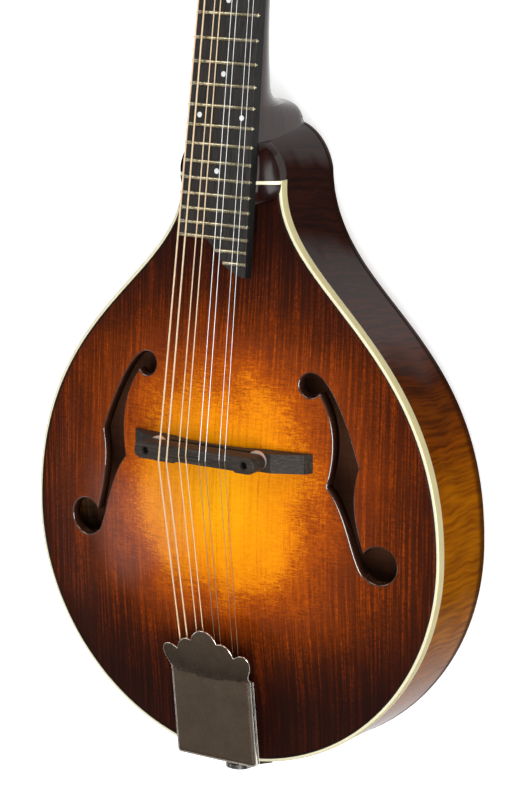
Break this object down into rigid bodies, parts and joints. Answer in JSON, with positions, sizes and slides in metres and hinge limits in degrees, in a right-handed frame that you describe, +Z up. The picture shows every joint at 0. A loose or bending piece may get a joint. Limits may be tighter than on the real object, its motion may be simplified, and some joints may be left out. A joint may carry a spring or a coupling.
{
  "type": "mandolin",
  "caption": "Teardrop mandolin with a carved sunburst top, f-shaped sound holes, an adjustable bridge, a slide-on tailpiece cover and worm-driven tuners, lying on its back.",
  "frame": {"origin": "middle of the footprint of the whole instrument, on the ground it lies on", "axes": "+X to the treble side, +Y from the tail to the headstock, +Z up, out of the top"},
  "size_m": [0.263, 0.6835, 0.1027],
  "materials": {
    "spruce_top": "glossy sunburst lacquer over straight-grained spruce",
    "maple_body": "glossy lacquer over flamed maple",
    "inner_wood": "bare wood",
    "cream_binding": "glossy cream",
    "black_trim": "glossy black",
    "dark_neck": "glossy dark brown lacquer",
    "ebony": "satin black wood",
    "rod_steel": "plain steel",
    "rod_brass": "plain brass",
    "nickel": "polished nickel",
    "fret_metal": "worn nickel silver",
    "pearl": "pearly white",
    "bone": "polished bone",
    "wheel_metal": "polished metal",
    "pewter": "satin dark grey-brown",
    "bronze_wire": "bronze wire",
    "steel_wire": "bright steel wire",
    "button_plastic": "cream plastic"
  },
  "bodies": {
    "instrument": {"top_plate": "spruce_top", "back_plate": "maple_body", "bass_rib": "maple_body", "treble_rib": "maple_body", "head_block": "inner_wood", "tail_block": "inner_wood", "top_lining": "inner_wood", "back_lining": "inner_wood", "tone_bars": "inner_wood", "top_binding": "cream_binding", "top_purfling": "black_trim", "neck": "dark_neck", "neck_riser": "dark_neck", "fingerboard": "ebony", "headplate": "ebony", "truss_rod_cover": "ebony", "bridge_base": "ebony", "truss_rod": "rod_steel", "bridge_studs": "rod_steel", "headstock_screws": "nickel", "bass_tuner_plate": "nickel", "treble_tuner_plate": "nickel", "tuner_bushings": "nickel", "frets": "fret_metal", "position_dots": "pearl", "nut": "bone", "tailpiece_base": "pewter", "tailpiece_screws": "pewter", "strap_button": "pewter", "wound_strings": "bronze_wire", "plain_strings": "steel_wire"},
    "saddle": {"bridge_saddle": "ebony"},
    "bass_wheel": {"bass_thumbwheel": "wheel_metal"},
    "treble_wheel": {"treble_thumbwheel": "wheel_metal"},
    "cover": {"tailpiece_cover": "pewter"},
    "rod_nut": {"truss_rod_nut": "rod_brass"},
    "worm_1": {"worm_shaft_1": "nickel", "tuner_button_1": "button_plastic"},
    "post_1": {"string_post_1": "nickel"},
    "worm_2": {"worm_shaft_2": "nickel", "tuner_button_2": "button_plastic"},
    "post_2": {"string_post_2": "nickel"},
    "worm_3": {"worm_shaft_3": "nickel", "tuner_button_3": "button_plastic"},
    "post_3": {"string_post_3": "nickel"},
    "worm_4": {"worm_shaft_4": "nickel", "tuner_button_4": "button_plastic"},
    "post_4": {"string_post_4": "nickel"},
    "worm_5": {"worm_shaft_5": "nickel", "tuner_button_5": "button_plastic"},
    "post_5": {"string_post_5": "nickel"},
    "worm_6": {"worm_shaft_6": "nickel", "tuner_button_6": "button_plastic"},
    "post_6": {"string_post_6": "nickel"},
    "worm_7": {"worm_shaft_7": "nickel", "tuner_button_7": "button_plastic"},
    "post_7": {"string_post_7": "nickel"},
    "worm_8": {"worm_shaft_8": "nickel", "tuner_button_8": "button_plastic"},
    "post_8": {"string_post_8": "nickel"}
  },
  "joints": [
    {"name": "tuner_1_turn", "type": "hinge", "parent": "instrument", "child": "worm_1", "pos_m": [-0.019, 0.23363, 0.02951], "axis": [1, 0, 0], "continuous": true},
    {"name": "post_1_turn", "type": "hinge", "parent": "instrument", "child": "post_1", "pos_m": [-0.019, 0.23196, 0.04838], "axis": [0, 0.3133, 0.9496], "continuous": true},
    {"name": "tuner_2_turn", "type": "hinge", "parent": "instrument", "child": "worm_2", "pos_m": [-0.019, 0.25548, 0.0223], "axis": [1, 0, 0], "continuous": true},
    {"name": "post_2_turn", "type": "hinge", "parent": "instrument", "child": "post_2", "pos_m": [-0.019, 0.25381, 0.04117], "axis": [0, 0.3133, 0.9496], "continuous": true},
    {"name": "tuner_3_turn", "type": "hinge", "parent": "instrument", "child": "worm_3", "pos_m": [-0.019, 0.27732, 0.01509], "axis": [1, 0, 0], "continuous": true},
    {"name": "post_3_turn", "type": "hinge", "parent": "instrument", "child": "post_3", "pos_m": [-0.019, 0.27565, 0.03397], "axis": [0, 0.3133, 0.9496], "continuous": true},
    {"name": "tuner_4_turn", "type": "hinge", "parent": "instrument", "child": "worm_4", "pos_m": [-0.019, 0.29916, 0.00788], "axis": [1, 0, 0], "continuous": true},
    {"name": "post_4_turn", "type": "hinge", "parent": "instrument", "child": "post_4", "pos_m": [-0.019, 0.29749, 0.02676], "axis": [0, 0.3133, 0.9496], "continuous": true},
    {"name": "tuner_5_turn", "type": "hinge", "parent": "instrument", "child": "worm_5", "pos_m": [0.019, 0.23363, 0.02951], "axis": [1, 0, 0], "continuous": true},
    {"name": "post_5_turn", "type": "hinge", "parent": "instrument", "child": "post_5", "pos_m": [0.019, 0.23196, 0.04838], "axis": [0, 0.3133, 0.9496], "continuous": true},
    {"name": "tuner_6_turn", "type": "hinge", "parent": "instrument", "child": "worm_6", "pos_m": [0.019, 0.25548, 0.0223], "axis": [1, 0, 0], "continuous": true},
    {"name": "post_6_turn", "type": "hinge", "parent": "instrument", "child": "post_6", "pos_m": [0.019, 0.25381, 0.04117], "axis": [0, 0.3133, 0.9496], "continuous": true},
    {"name": "tuner_7_turn", "type": "hinge", "parent": "instrument", "child": "worm_7", "pos_m": [0.019, 0.27732, 0.01509], "axis": [1, 0, 0], "continuous": true},
    {"name": "post_7_turn", "type": "hinge", "parent": "instrument", "child": "post_7", "pos_m": [0.019, 0.27565, 0.03397], "axis": [0, 0.3133, 0.9496], "continuous": true},
    {"name": "tuner_8_turn", "type": "hinge", "parent": "instrument", "child": "worm_8", "pos_m": [0.019, 0.29916, 0.00788], "axis": [1, 0, 0], "continuous": true},
    {"name": "post_8_turn", "type": "hinge", "parent": "instrument", "child": "post_8", "pos_m": [0.019, 0.29749, 0.02676], "axis": [0, 0.3133, 0.9496], "continuous": true},
    {"name": "saddle_lift", "type": "slide", "parent": "instrument", "child": "saddle", "axis": [0, -0.0391, 0.9992], "range_m": [-0.0014, 0.0014], "deforming": ["wound_strings", "plain_strings"]},
    {"name": "bass_wheel_turn", "type": "hinge", "parent": "saddle", "child": "bass_wheel", "pos_m": [-0.0315, -0.15531, 0.08604], "axis": [0, -0.0391, 0.9992], "range_deg": [-720, 720]},
    {"name": "treble_wheel_turn", "type": "hinge", "parent": "saddle", "child": "treble_wheel", "pos_m": [0.0315, -0.15531, 0.08604], "axis": [0, -0.0391, 0.9992], "range_deg": [-720, 720]},
    {"name": "cover_slide", "type": "slide", "parent": "instrument", "child": "cover", "axis": [0, -0.9867, -0.1623], "range_m": [0, 0.07]},
    {"name": "rod_nut_turn", "type": "hinge", "parent": "instrument", "child": "rod_nut", "pos_m": [0, 0.20564, 0.05296], "axis": [0, 0.9958, -0.0917], "range_deg": [-360, 360]}
  ],
  "couplings": [
    {"joint": "post_1_turn", "follows": "tuner_1_turn", "ratio": 0.0625},
    {"joint": "post_2_turn", "follows": "tuner_2_turn", "ratio": 0.0625},
    {"joint": "post_3_turn", "follows": "tuner_3_turn", "ratio": 0.0625},
    {"joint": "post_4_turn", "follows": "tuner_4_turn", "ratio": 0.0625},
    {"joint": "post_5_turn", "follows": "tuner_5_turn", "ratio": 0.0625},
    {"joint": "post_6_turn", "follows": "tuner_6_turn", "ratio": 0.0625},
    {"joint": "post_7_turn", "follows": "tuner_7_turn", "ratio": 0.0625},
    {"joint": "post_8_turn", "follows": "tuner_8_turn", "ratio": 0.0625},
    {"joint": "bass_wheel_turn", "follows": "saddle_lift", "rad_per_m": 8975.9},
    {"joint": "treble_wheel_turn", "follows": "saddle_lift", "rad_per_m": 8975.9}
  ]
}
